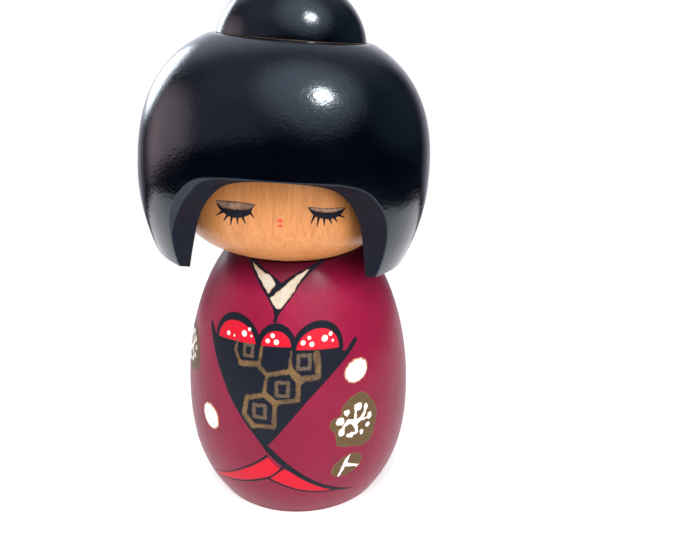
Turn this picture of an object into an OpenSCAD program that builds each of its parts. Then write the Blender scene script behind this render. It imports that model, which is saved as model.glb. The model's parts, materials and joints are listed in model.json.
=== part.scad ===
// Turned wooden doll with a separate head, bobbed hair cap and top-knot bun.
// The body is an egg-shaped turning that stands on a flat base. The head is a
// flattened ball that turns on a peg glued into the body. The hair is a hollow
// turned cap, sawn open at the front, and the bun is doweled on top of it.
// Millimetres. +Z is up and the face looks along -Y. The origin is the centre
// of the base. Every surface of revolution is drawn from one profile formula.

/* [Body] */
// Largest radius of the body
body_r = 34; // [32:0.5:35]
// Height of the largest radius above the base
body_belly_z = 30.3; // [28:0.1:32]
// Semi-height of the upper part of the egg
body_rise = 56.5; // [55:0.5:58]
// Semi-height of the lower part of the egg, before the flat base cuts it
body_drop = 41.2; // [38:0.2:44]
// Width of the softened edge around the base
base_edge = 0.8; // [0.4:0.1:1.2]

/* [Neck] */
// Sideways place of the peg hole on the body's top
neck_x = -4.4; // [-6:0.1:6]
// Height of the neck seat above the base
neck_z = 76.1; // [76:0.1:77]
// Lean of the peg hole, and so of the whole head, to the right
head_lean = 4.2; // [0:0.1:6]
// Radius of the neck peg
peg_r = 4.5; // [3:0.25:6]
// Length of the peg inside the body
peg_in_body = 24; // [15:1:30]
// Length of the peg inside the head
peg_in_head = 15; // [10:1:16]
// Radial clearance of the head on the peg
peg_clearance = 0.06; // [0.03:0.01:0.1]
// Gap between the head and the dished seat in the body
seat_gap = 0.35; // [0.3:0.05:0.6]

/* [Head] */
// Largest radius of the head ball
head_r = 30.3; // [29:0.1:31]
// Semi-height of the head ball
head_rise = 19.4; // [19:0.1:20]
// Height of the ball's centre above the neck seat
head_mid_z = 18.8; // [18.4:0.1:19.2]
// Height of the flat crown that the hair cap is glued to
crown_z = 37.6; // [37:0.1:37.8]

/* [Hair cap] */
// Largest radius of the hair cap
hair_r = 41.2; // [40.5:0.1:42]
// Height of the largest radius above the neck seat
hair_mid_z = 22; // [21:0.1:23]
// Semi-height of the upper part of the hair
hair_rise = 40.9; // [40:0.1:42]
// Semi-height of the lower part of the hair, before the flat rim cuts it
hair_drop = 51.1; // [50:0.1:52]
// Height of the flat rim at the bottom of the hair
hair_rim_z = 0.3; // [0:0.1:1]
// Height of the flat top that the bun stands on
hair_top_z = 59.2; // [59:0.1:60]
// Radius of the hollow inside the hair where it opens at the rim
hollow_rim_r = 34.3; // [33.8:0.1:34.8]
// Largest radius of the hollow, at the top of its straight taper
hollow_r = 37.7; // [37:0.1:38]
// Height of the hollow's largest radius above the neck seat
hollow_mid_z = 26; // [24:0.5:28]
// Semi-height of the dome above that, before its flat ceiling cuts it
hollow_rise = 16; // [14:0.5:18]

/* [Face window] */
// Height of the fringe, where the front cut runs level
fringe_z = 27.9; // [27:0.1:29]
// Radius of the tight corner under the fringe
window_corner_r = 8.1; // [6:0.1:9]
// Radius of the long bow from that corner to the straight part of the cut
window_bow_r = 45.6; // [38:0.2:52]
// Slope of the cut, from upright, where the bow meets the corner
window_bow_slope = 32.5; // [28:0.5:36]
// How far in front of the head's axis the cut meets the rim
lock_front_y = 25.2; // [24:0.1:27]
// Slope of the straight part of the cut down the locks, from upright
lock_slope = 17.7; // [14:0.1:20]

/* [Bun] */
// Largest radius of the bun
bun_r = 20.6; // [19:0.1:21.5]
// Semi-height of the bun's dome
bun_rise = 18.4; // [16:0.1:20]
// How far the dome's centre lies below the hair's flat top
bun_sink = 2.4; // [1:0.1:4]
// Radius of the dowel through the hair into the head and the bun
crown_dowel_r = 3; // [2:0.25:4]
// Depth of the dowel in the head, and in the bun
crown_dowel_grip = 9; // [6:0.5:10]

/* [Hidden] */

lacquer_red = [0.56, 0.09, 0.17];
lacquer_black = [0.07, 0.07, 0.09];
bare_wood = [0.85, 0.6, 0.4];
dowel_wood = [0.86, 0.75, 0.58];

round_fn = 96;        // facets of a full turn where one is drawn
curve_steps = 24;     // steps of a profile between its widest place and its end
corner_steps = 10;    // steps of each arc of the window's outline
body_up_pow = 2.06;   // roundness of the body above its belly, 2 is an ellipse
body_down_pow = 2.33; // roundness of the body below its belly
head_pow = 2.9;       // roundness of the head ball
hair_up_pow = 2.5;    // roundness of the hair above its widest place
hair_down_pow = 1.83; // roundness of the hair below its widest place
bun_pow = 2;          // the bun is an ellipse
hole_end = 1;         // spare depth at the end of each blind hole
past = 5;             // how far a cutter runs past the face it cuts

// Radius of a rounded profile at height d from its widest place
function curve_r(r, semi, pow_n, d) = r * pow(1 - pow(d / semi, pow_n), 1 / pow_n);

// Angle at which the curve is d away from its widest place
function curve_angle(semi, pow_n, d) = asin(pow(d / semi, pow_n / 2));

// Points [radius, height] of a rounded profile from height d_from to d_to,
// both measured from its widest place, upwards when side is 1 and downwards when -1
function curve(r, z, semi, pow_n, d_from, d_to, side) =
    let (a = curve_angle(semi, pow_n, d_from), b = curve_angle(semi, pow_n, d_to))
    [for (i = [0:curve_steps])
        let (t = a + (b - a) * i / curve_steps)
        [r * pow(max(0, cos(t)), 2 / pow_n), z + side * semi * pow(max(0, sin(t)), 2 / pow_n)]];

// The head's own frame: upright on the seat, then leaned with the peg hole
module on_neck() {
    translate([neck_x, 0, neck_z]) rotate([0, head_lean, 0]) children();
}

module turned(points) {
    rotate_extrude($fn = round_fn) polygon(points);
}

// The head ball, grown all round by gap
module head_ball(gap, top_z) {
    r = head_r + gap;
    rise = head_rise + gap;
    up = curve(r, head_mid_z, rise, head_pow, 0, top_z - head_mid_z, 1);
    down = curve(r, head_mid_z, rise, head_pow, rise, 0, -1);
    turned(concat(down, [for (i = [1:curve_steps]) up[i]], [[0, top_z]]));
}

// Points of an arc about [y, z], from angle t_from to t_to, which are slopes from upright
function arc(y, z, r, t_from, t_to) =
    [for (i = [0:corner_steps])
        let (t = t_from + (t_to - t_from) * i / corner_steps)
        [y - r * cos(t), z + r * sin(t)]];

// Side view of all that the saw takes from the front of the hair, as [-y, z]
function window_outline() =
    let (
        below = hair_rim_z - past,
        front = hair_r + past,
        corner_z = fringe_z - window_corner_r,
        bow_z = corner_z + (window_corner_r - window_bow_r) * sin(window_bow_slope),
        straight_z = bow_z + window_bow_r * sin(lock_slope),
        straight_y = lock_front_y + (straight_z - hair_rim_z) * tan(lock_slope),
        bow_y = straight_y + window_bow_r * cos(lock_slope),
        corner_y = bow_y + (window_corner_r - window_bow_r) * cos(window_bow_slope),
        corner = arc(corner_y, corner_z, window_corner_r, window_bow_slope, 90)
    )
    concat(
        [[front, below], [lock_front_y + (below - hair_rim_z) * tan(lock_slope), below]],
        arc(bow_y, bow_z, window_bow_r, lock_slope, window_bow_slope),
        [for (i = [1:corner_steps]) corner[i]],
        [[front, fringe_z]]
    );

// The front saw cut, straight across from side to side
module window_cutter() {
    rotate([90, 0, -90]) linear_extrude(height = 2 * hair_r + 2 * past, center = true)
        polygon(window_outline());
}

module body() {
    base_r = curve_r(body_r, body_drop, body_down_pow, body_belly_z - base_edge);
    lower = curve(body_r, body_belly_z, body_drop, body_down_pow, body_belly_z - base_edge, 0, -1);
    upper = curve(body_r, body_belly_z, body_rise, body_up_pow, 0, body_rise, 1);
    color(lacquer_red) difference() {
        turned(concat([[0, 0], [base_r - base_edge, 0]], lower, [for (i = [1:curve_steps]) upper[i]]));
        on_neck() {
            head_ball(seat_gap, crown_z);
            translate([0, 0, -peg_in_body - hole_end])
                cylinder(r = peg_r, h = peg_in_body + hole_end + past, $fn = round_fn);
        }
    }
}

module neck_peg() {
    color(dowel_wood) on_neck() translate([0, 0, -peg_in_body])
        cylinder(r = peg_r, h = peg_in_body + peg_in_head, $fn = round_fn);
}

module head() {
    color(bare_wood) on_neck() difference() {
        head_ball(0, crown_z);
        translate([0, 0, -past])
            cylinder(r = peg_r + peg_clearance, h = past + peg_in_head + hole_end, $fn = round_fn);
        translate([0, 0, crown_z - crown_dowel_grip - hole_end])
            cylinder(r = crown_dowel_r, h = crown_dowel_grip + hole_end + past, $fn = round_fn);
    }
}

module hair_cap() {
    rim_drop = hair_mid_z - hair_rim_z;
    outer_down = curve(hair_r, hair_mid_z, hair_drop, hair_down_pow, rim_drop, 0, -1);
    outer_up = curve(hair_r, hair_mid_z, hair_rise, hair_up_pow, 0, hair_top_z - hair_mid_z, 1);
    taper = (hollow_r - hollow_rim_r) / (hollow_mid_z - hair_rim_z);
    hollow_foot = [hollow_rim_r - past * taper, hair_rim_z - past];
    hollow_up = curve(hollow_r, hollow_mid_z, hollow_rise, hair_up_pow, 0, crown_z - hollow_mid_z, 1);
    color(lacquer_black) on_neck() difference() {
        turned(concat([[0, hair_rim_z]], outer_down, [for (i = [1:curve_steps]) outer_up[i]],
            [[0, hair_top_z]]));
        turned(concat([[0, hair_rim_z - past], hollow_foot], hollow_up, [[0, crown_z]]));
        window_cutter();
        translate([0, 0, crown_z - past])
            cylinder(r = crown_dowel_r, h = hair_top_z - crown_z + 2 * past, $fn = round_fn);
    }
}

module crown_dowel() {
    color(dowel_wood) on_neck() translate([0, 0, crown_z - crown_dowel_grip])
        cylinder(r = crown_dowel_r, h = hair_top_z - crown_z + 2 * crown_dowel_grip, $fn = round_fn);
}

module bun() {
    dome = curve(bun_r, hair_top_z - bun_sink, bun_rise, bun_pow, bun_sink, bun_rise, 1);
    color(lacquer_black) on_neck() difference() {
        turned(concat([[0, hair_top_z]], dome));
        translate([0, 0, hair_top_z - past])
            cylinder(r = crown_dowel_r, h = past + crown_dowel_grip + hole_end, $fn = round_fn);
    }
}

body();
neck_peg();
head();
hair_cap();
crown_dowel();
bun();
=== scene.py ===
"""The looks of a turned wooden doll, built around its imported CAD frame.

The frame gives the sizes, the neck and the axis that the head turns on. Shapes are worked out
in millimetres and turned into metres when a mesh is made. Heights of the head, the hair and the
bun are measured from the neck seat, along the head's own leaning axis, as in the CAD model.
Angles around a piece are measured from its front, -Y, towards +X.
"""

import json
import math

import bmesh
import bpy
import numpy as np
from mathutils import Matrix, Vector


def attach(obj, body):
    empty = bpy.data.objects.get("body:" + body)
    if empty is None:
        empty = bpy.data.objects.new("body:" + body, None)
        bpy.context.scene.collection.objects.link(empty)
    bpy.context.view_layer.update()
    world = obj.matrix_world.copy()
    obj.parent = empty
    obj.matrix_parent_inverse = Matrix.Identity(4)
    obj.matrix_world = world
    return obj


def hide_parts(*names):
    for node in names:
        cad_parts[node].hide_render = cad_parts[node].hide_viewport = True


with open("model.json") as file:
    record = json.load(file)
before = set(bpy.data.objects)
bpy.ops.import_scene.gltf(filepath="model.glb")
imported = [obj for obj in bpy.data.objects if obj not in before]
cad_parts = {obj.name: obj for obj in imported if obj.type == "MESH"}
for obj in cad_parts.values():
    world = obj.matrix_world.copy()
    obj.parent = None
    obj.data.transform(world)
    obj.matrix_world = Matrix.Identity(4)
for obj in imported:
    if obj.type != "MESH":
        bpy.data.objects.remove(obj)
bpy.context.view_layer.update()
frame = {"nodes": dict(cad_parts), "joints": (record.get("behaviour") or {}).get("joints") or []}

MM = 0.001
SWIVEL = frame["joints"][0]
LEAN = Vector((0, 0, 1)).rotation_difference(Vector(SWIVEL["axis"])).to_matrix().to_4x4()
HEAD = Matrix.Translation(Vector(SWIVEL["pos_m"])) @ LEAN  # the head's own frame
WORLD = Matrix.Identity(4)


# ---------------------------------------------------------------- turned outlines


def measured(node, place=WORLD):
    """Largest radius, lowest and highest point of a CAD node in the frame of place, in mm."""
    back = place.inverted()
    points = np.array([back @ v.co for v in frame["nodes"][node].data.vertices]) / MM
    return np.hypot(points[:, 0], points[:, 1]).max(), points[:, 2].min(), points[:, 2].max()


class Turning:
    """A rounded outline turned about the Z axis, widest at height mid."""

    def __init__(self, r, mid, rise, up_pow, drop, down_pow):
        self.r = r
        self.mid = mid
        self.rise = rise
        self.up_pow = up_pow
        self.drop = drop
        self.down_pow = down_pow

    def terms(self, z):
        """Signed share of the semi-height at z, the semi-height and the roundness there."""
        up = np.asarray(z, float) > self.mid
        semi = np.where(up, self.rise, self.drop)
        share = np.clip((z - self.mid) / semi, -1, 1)
        return share, semi, np.where(up, self.up_pow, self.down_pow)

    def radius(self, z):
        share, semi, power = self.terms(z)
        return self.r * (1 - np.abs(share) ** power) ** (1 / power)

    def at(self, angle, z, lift=0.0):
        """Points on the surface, raised by lift along its normal."""
        share, semi, power = self.terms(z)
        r = self.radius(z)
        outward = (r / self.r) ** (power - 1) / self.r
        upward = np.sign(share) * np.abs(share) ** (power - 1) / semi
        length = np.hypot(outward, upward)
        r = r + lift * outward / length
        return around(angle, r, z + lift * upward / length)

    def walk(self, z_from, z_to, steps):
        """Heights from z_from to z_to, evenly spaced along the outline."""
        turn = np.linspace(0, math.pi, 400)
        z = z_from + (z_to - z_from) * (1 - np.cos(turn)) / 2
        length = np.append(0, np.cumsum(np.hypot(np.diff(z), np.diff(self.radius(z)))))
        return np.interp(np.linspace(0, length[-1], steps + 1), length, z)


def around(angle, r, z):
    """Points at an angle from the front, a radius and a height."""
    angle, r, z = np.broadcast_arrays(angle, r, z)
    return np.stack([r * np.sin(angle), -r * np.cos(angle), z], axis=-1)


def solve(test, low, high):
    """Where test, which is above 0 at low and below 0 at high, passes 0."""
    for _ in range(50):
        middle = (low + high) / 2
        if test(middle) > 0:
            low = middle
        else:
            high = middle
    return (low + high) / 2


BODY_R, _, _ = measured("body")
HEAD_R, _, CROWN_Z = measured("head", HEAD)
HAIR_R, RIM_Z, HAIR_TOP_Z = measured("hair_cap", HEAD)
BUN_R, _, BUN_TOP_Z = measured("bun", HEAD)
PEG_R, PEG_FOOT_Z, PEG_TOP_Z = measured("neck_peg", HEAD)
DOWEL_R, DOWEL_FOOT_Z, DOWEL_TOP_Z = measured("crown_dowel", HEAD)

SEAT_GAP = 0.35  # between the head and its dished seat
HOLE_END = 1  # spare depth at the end of each blind hole
PEG_PLAY = 0.06  # of the head on its peg
BASE_EDGE = 0.8
BUN_SINK = 2.4

BODY = Turning(BODY_R, 30.3, 56.5, 2.06, 41.2, 2.33)
BALL = Turning(HEAD_R, 18.8, 19.4, 2.9, 19.4, 2.9)
HAIR = Turning(HAIR_R, 22, 40.9, 2.5, 51.1, 1.83)
HOLLOW = Turning(37.7, 26, 16, 2.5, 37.7 * 25.7 / 3.4, 1)
BUN_MID = HAIR_TOP_Z - BUN_SINK
BUN = Turning(20.6, BUN_MID, BUN_TOP_Z - BUN_MID, 2, BUN_TOP_Z - BUN_MID, 2)


# ---------------------------------------------------------------- meshes


def make(name, points, faces, place, body, materials, face_materials=None):
    """A smooth-shaded piece from points in mm in the frame of place, riding on body."""
    mesh = bpy.data.meshes.new(name)
    mesh.from_pydata((np.asarray(points) * MM).tolist(), [], faces)
    mesh.polygons.foreach_set("use_smooth", [True] * len(mesh.polygons))
    if face_materials is not None:
        mesh.polygons.foreach_set("material_index", face_materials)
    for material in materials:
        mesh.materials.append(material)
    crease(mesh)
    piece = bpy.data.objects.new(name, mesh)
    bpy.context.scene.collection.objects.link(piece)
    piece.matrix_world = place
    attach(piece, body)
    return piece


def crease(mesh, limit=math.radians(38)):
    """Turns the faces outward and marks the edges sharper than limit."""
    shape = bmesh.new()
    shape.from_mesh(mesh)
    bmesh.ops.recalc_face_normals(shape, faces=shape.faces)
    for edge in shape.edges:
        if len(edge.link_faces) == 2 and edge.calc_face_angle(0) > limit:
            edge.smooth = False
    shape.to_mesh(mesh)
    shape.free()


def skin(rows, ring=False):
    """Points and faces over rows of points that each close around. The first row also joins
    the last where ring is true; otherwise both ends close on a middle point."""
    rows = np.asarray(rows)
    count, width = rows.shape[:2]
    points = rows.reshape(-1, 3)
    faces = []
    for i in range(count if ring else count - 1):
        a = i * width
        b = (i + 1) % count * width
        for j in range(width):
            k = (j + 1) % width
            faces.append((a + j, a + k, b + k, b + j))
    if not ring:
        ends = [rows[0].mean(axis=0), rows[-1].mean(axis=0)]
        first = len(points)
        last = (count - 1) * width
        points = np.vstack([points, ends])
        for j in range(width):
            k = (j + 1) % width
            faces.append((first, k, j))
            faces.append((first + 1, last + j, last + k))
    return points, faces


def lathe(outline, segments=256):
    """Rows of points for an outline of [radius, height] turned about Z."""
    angle = np.linspace(0, 2 * math.pi, segments, endpoint=False)
    return [around(angle, r, z) for r, z in outline]


def spread(start, end, steps):
    """Points from start to end, both left out."""
    return [start + (end - start) * i / steps for i in range(1, steps)]


def bend(start, corner, end, steps):
    """Points of a curve from start to end that is pulled towards corner."""
    t = (np.arange(steps + 1) / steps)[:, None, None]
    return (1 - t) ** 2 * start + 2 * t * (1 - t) * corner + t * t * end


# ---------------------------------------------------------------- the turned pieces


def body_rows(segments=288):
    """Base, flank, dished seat and peg hole of the body, one row of points after another."""
    angle = np.linspace(0, 2 * math.pi, segments, endpoint=False)
    base_r = BODY.radius(BASE_EDGE)
    rows = [around(angle, base_r * share, 0) for share in (0.05, 0.25, 0.5, 0.75, 0.95)]
    foot = around(angle, base_r - BASE_EDGE, 0)
    toe = around(angle, base_r, BASE_EDGE)
    rows += list(bend(foot, around(angle, base_r - 0.15, 0.05), toe, 5))

    back = HEAD.inverted()
    seat = Turning(
        HEAD_R + SEAT_GAP, BALL.mid, BALL.rise + SEAT_GAP, BALL.up_pow, BALL.drop + SEAT_GAP, BALL.down_pow
    )

    def above_seat(turn, z):
        """How far the flank at this angle and height lies outside the seat's ball."""
        p = back @ (Vector(BODY.at(turn, z)) * MM) / MM
        return math.hypot(p.x, p.y) - seat.radius(p.z)

    edge_z = np.array([solve(lambda z: above_seat(a, z), BODY.mid + 35, BODY.mid + 52) for a in angle])
    soft = 0.35  # width of the rounding at the seat's edge
    lift = np.array([BODY.walk(BASE_EDGE, z - soft, 110) for z in edge_z])
    rows += [BODY.at(angle, lift[:, i]) for i in range(1, lift.shape[1])]

    edge = np.array([back @ (Vector(p) * MM) / MM for p in BODY.at(angle, edge_z)])
    edge_r = np.hypot(edge[:, 0], edge[:, 1])
    turn = np.arctan2(edge[:, 0], -edge[:, 1])

    def dish(r):
        """Points on the seat's ball at radius r about the head's axis."""
        share = (1 - (r / seat.r) ** seat.down_pow) ** (1 / seat.down_pow)
        return around(turn, r, seat.mid - seat.drop * share)

    def leaned(points):
        return np.array([HEAD @ (Vector(p) * MM) / MM for p in points])

    start = rows[-1]
    lip = leaned(dish(edge_r - soft))
    rows += list(bend(start, leaned(edge), lip, 4)[1:])
    for i in range(1, 17):
        rows.append(leaned(dish(edge_r - soft + (PEG_R - edge_r + soft) * i / 16)))
    hole_z = PEG_FOOT_Z - HOLE_END
    for z in (-8, hole_z / 2, hole_z):
        rows.append(leaned(around(turn, PEG_R, z)))
    return rows


def build_body(finish, bare):
    rows = body_rows()
    points, faces = skin(rows)
    width = len(rows[0])
    under = [1 if i // width < 5 else 0 for i in range(len(faces) - 2 * width)]
    caps = [1, 0] * width
    piece = make("body_turning", points, faces, WORLD, "root", [finish, bare], under + caps)
    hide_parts("body")


def build_head(finish):
    hole_r = PEG_R + PEG_PLAY
    foot_z = BALL.mid - BALL.drop * (1 - (hole_r / BALL.r) ** BALL.down_pow) ** (1 / BALL.down_pow)
    crown_r = BALL.radius(CROWN_Z)
    outline = [[hole_r * 0.5, PEG_TOP_Z + HOLE_END], [hole_r, PEG_TOP_Z + HOLE_END], [hole_r, foot_z]]
    outline += [[BALL.radius(z), z] for z in BALL.walk(foot_z, CROWN_Z, 110)[1:]]
    outline += [[(crown_r + DOWEL_R) / 2, CROWN_Z], [DOWEL_R, CROWN_Z]]
    outline += [[DOWEL_R, DOWEL_FOOT_Z - HOLE_END], [DOWEL_R * 0.5, DOWEL_FOOT_Z - HOLE_END]]
    points, faces = skin(lathe(outline))
    piece = make("head_ball", points, faces, HEAD, "head_unit", [finish])
    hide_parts("head")


def build_bun(finish):
    foot_r = BUN.radius(HAIR_TOP_Z)
    edge = 0.25
    outline = [[DOWEL_R * 0.5, DOWEL_TOP_Z + HOLE_END], [DOWEL_R, DOWEL_TOP_Z + HOLE_END]]
    outline += [[DOWEL_R, HAIR_TOP_Z], [foot_r / 2, HAIR_TOP_Z], [foot_r - edge, HAIR_TOP_Z]]
    heights = BUN.walk(HAIR_TOP_Z + edge, BUN_TOP_Z - 0.005, 80)
    outline += [[BUN.radius(z), z] for z in heights]
    points, faces = skin(lathe(outline))
    piece = make("bun_turning", points, faces, HEAD, "head_unit", [finish])
    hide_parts("bun")


def build_bun_seam(finish):
    """A line of bare wood and glue where the bun meets the hair."""
    foot_r = BUN.radius(HAIR_TOP_Z)
    angle = np.linspace(0, 2 * math.pi, 240, endpoint=False)
    squeeze = 0.06 * np.sin(5 * angle + 1) + 0.05 * np.sin(13 * angle)
    rows = [
        around(angle, foot_r - 0.5, HAIR_TOP_Z - 0.1),
        around(angle, foot_r + 0.14 + squeeze, HAIR_TOP_Z - 0.1),
        around(angle, foot_r + 0.1 + squeeze, HAIR_TOP_Z + 0.08),
        around(angle, foot_r - 0.04, HAIR_TOP_Z + 0.17 + squeeze * 0.5),
        around(angle, foot_r - 0.5, HAIR_TOP_Z + 0.15),
    ]
    points, faces = skin(rows, ring=True)
    make("bun_seam", points, faces, HEAD, "head_unit", [finish])


# ---------------------------------------------------------------- the hair cap

FRINGE_Z = 27.9
CORNER_R = 8.1  # the tight corner under the fringe
BOW_R = 45.6  # the long bow below that corner
BOW_SLOPE = math.radians(32.5)
LOCK_Y = 25.2
LOCK_SLOPE = math.radians(17.7)
CORNER_Z = FRINGE_Z - CORNER_R
BOW_Z = CORNER_Z + (CORNER_R - BOW_R) * math.sin(BOW_SLOPE)
BOW_END_Z = CORNER_Z + CORNER_R * math.sin(BOW_SLOPE)
STRAIGHT_END_Z = BOW_Z + BOW_R * math.sin(LOCK_SLOPE)
STRAIGHT_END_Y = LOCK_Y + (STRAIGHT_END_Z - RIM_Z) * math.tan(LOCK_SLOPE)
BOW_Y = STRAIGHT_END_Y + BOW_R * math.cos(LOCK_SLOPE)
CORNER_Y = BOW_Y + (CORNER_R - BOW_R) * math.cos(BOW_SLOPE)
BOW_END_Y = CORNER_Y - CORNER_R * math.cos(BOW_SLOPE)


def cut_y(z):
    """How far in front of the axis the saw cut lies at height z."""
    straight = LOCK_Y + (z - RIM_Z) * math.tan(LOCK_SLOPE)
    bow = BOW_Y - np.sqrt(np.maximum(BOW_R**2 - (z - BOW_Z) ** 2, 0))
    corner = CORNER_Y - np.sqrt(np.maximum(CORNER_R**2 - (z - CORNER_Z) ** 2, 0))
    return np.where(z < STRAIGHT_END_Z, straight, np.where(z < BOW_END_Z, bow, corner))


def cut_z(y):
    """Height of the saw cut at a distance y in front of the axis."""
    straight = RIM_Z + (y - LOCK_Y) / math.tan(LOCK_SLOPE)
    bow = BOW_Z + np.sqrt(np.maximum(BOW_R**2 - (BOW_Y - y) ** 2, 0))
    corner = CORNER_Z + np.sqrt(np.maximum(CORNER_R**2 - np.minimum(y - CORNER_Y, 0) ** 2, 0))
    return np.where(y < STRAIGHT_END_Y, straight, np.where(y < BOW_END_Y, bow, corner))


WINDOW_STEPS = 80  # along the window's edge, from the middle of the fringe to the rim
RIM_STEPS = 110  # along the rim, from the window to the back
CHAMFER = 1.5  # widest place of the flat that is rubbed on the left lock


def resample(points, steps):
    """Points evenly spaced along a polyline."""
    length = np.append(0, np.cumsum(np.linalg.norm(np.diff(points, axis=0), axis=1)))
    place = np.linspace(0, length[-1], steps + 1)
    return np.stack([np.interp(place, length, points[:, k]) for k in range(3)], axis=1)


def half_edge(shell):
    """Edge of the window and then the rim, on one surface of the cap, from front to back."""
    top = solve(lambda z: shell.radius(z) - cut_y(z), RIM_Z, FRINGE_Z)
    z = top - (top - RIM_Z) * np.linspace(0, 1, 600) ** 2
    angle = np.arccos(np.minimum(cut_y(z) / shell.radius(z), 1))
    window = resample(shell.at(angle, z), WINDOW_STEPS)
    rim = shell.at(np.linspace(angle[-1], math.pi, RIM_STEPS + 1), RIM_Z)
    return np.vstack([window, rim[1:]])


def both_halves(half):
    """The half edge, carried on around the back to the front again."""
    return np.vstack([half, (half * [-1, 1, 1])[-2:0:-1]])


def unit(v):
    return v / np.linalg.norm(v, axis=-1, keepdims=True)


def onto(shell, points):
    """Points moved level onto a turned surface, as angle and height."""
    return np.arctan2(points[:, 0], -points[:, 1]), points[:, 2]


def build_hair(finish, sawn, rubbed):
    outer = both_halves(half_edge(HAIR))
    inner = both_halves(half_edge(HOLLOW))
    count = len(outer)
    half = WINDOW_STEPS + RIM_STEPS
    index = np.minimum(np.arange(count), count - np.arange(count))
    left = np.arange(count) > half
    in_window = index < WINDOW_STEPS
    down = np.clip(index / WINDOW_STEPS, 0, 1)  # from the fringe's middle to the lock's foot

    # width of the edge's rounding: a thin line all round, and a wide flat on the left lock
    flat = np.clip((down - 0.3) / 0.24, 0, 1) * np.clip((0.84 - down) / 0.22, 0, 1)
    flat = np.where(left & in_window, flat * flat * (3 - 2 * flat), 0)
    width = (0.3 + 0.1 * CHAMFER * flat)[:, None]
    depth = (0.17 + CHAMFER * flat)[:, None]

    along = unit(np.roll(outer, -1, axis=0) - np.roll(outer, 1, axis=0))
    z = outer[:, 2]
    angle = np.arctan2(outer[:, 0], -outer[:, 1])
    normal = unit(HAIR.at(angle, z, 1) - HAIR.at(angle, z))
    away = unit(np.cross(normal, along))
    away *= np.sign(away[:, 2:3] + 1e-9)
    across = unit(inner - outer)
    turn_out, z_out = onto(HAIR, outer + away * width)
    shoulder_r = HAIR.radius(HAIR_TOP_Z)
    top_turn = math.pi * index / half
    top_turn = np.where(left, -top_turn, top_turn)
    turn_out = np.where(index == half, top_turn, turn_out)

    soft = 0.3
    rows = []
    steps = 84
    shares = np.linspace(0, 1, steps + 1)
    height = np.array([HAIR.walk(HAIR_TOP_Z - soft, end, steps) for end in z_out])
    for i, share in enumerate(shares):
        rows.append(HAIR.at(top_turn + (turn_out - top_turn) * share**2.2, height[:, i]))
    kinds = [0] * steps

    # the rounded or rubbed edge between the lacquered side and the sawn face
    lower = outer + across * np.minimum(depth, 0.4 * np.linalg.norm(inner - outer, axis=1)[:, None])
    lower[:, 2] = np.where(in_window, cut_z(-lower[:, 1]), RIM_Z)
    middle = (rows[-1] + lower) / 2
    corner = middle + (outer - middle) * (1 - 0.75 * flat[:, None])
    rows += list(bend(rows[-1], corner, lower, 4)[1:])
    kinds += [2] * 4

    # the sawn face in the window and the flat rim behind it
    hollow_turn, hollow_z = onto(HOLLOW, inner)
    inner_soft = 0.2
    far = inner - across * inner_soft
    for share in np.linspace(0, 1, 7)[1:]:
        row = lower + (far - lower) * share
        row[:, 2] = np.where(in_window, cut_z(-row[:, 1]), RIM_Z)
        rows.append(row)
    kinds += [1] * 6

    # the hollow, its flat ceiling and the hole for the dowel
    start_z = hollow_z + inner_soft
    height = np.array([HOLLOW.walk(z, CROWN_Z, 34) for z in start_z])
    rows += list(bend(rows[-1], inner, HOLLOW.at(hollow_turn, start_z), 2)[1:])
    kinds += [1] * 2
    for i in range(1, 35):
        share = (i / 34) ** 0.6
        rows.append(HOLLOW.at(hollow_turn + (top_turn - hollow_turn) * share, height[:, i]))
    kinds += [1] * 34
    ceiling_r = HOLLOW.radius(CROWN_Z)
    flats = [[(ceiling_r + DOWEL_R) / 2, CROWN_Z], [DOWEL_R, CROWN_Z], [DOWEL_R, HAIR_TOP_Z]]
    flats += [[shoulder_r * 0.5, HAIR_TOP_Z], [shoulder_r - soft, HAIR_TOP_Z]]
    flats += [[shoulder_r - 0.04, HAIR_TOP_Z - 0.07]]
    rows += [around(top_turn, r, z) for r, z in flats]
    kinds += [1] * 3 + [0] * 4

    points, faces = skin(rows, ring=True)
    column = np.tile(np.arange(count), len(rows))
    kind = np.repeat(kinds, count)
    kind = np.where((kind == 2) & ~in_window[column], 0, kind)
    piece = make("hair_turning", points, faces, HEAD, "head_unit", [finish, sawn, rubbed], kind)
    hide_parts("hair_cap")


# ---------------------------------------------------------------- brush work

PAINT_FRONT = math.radians(-12.1)  # the body's painting is turned this far to the left
FACE_FRONT = 0.0


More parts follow.
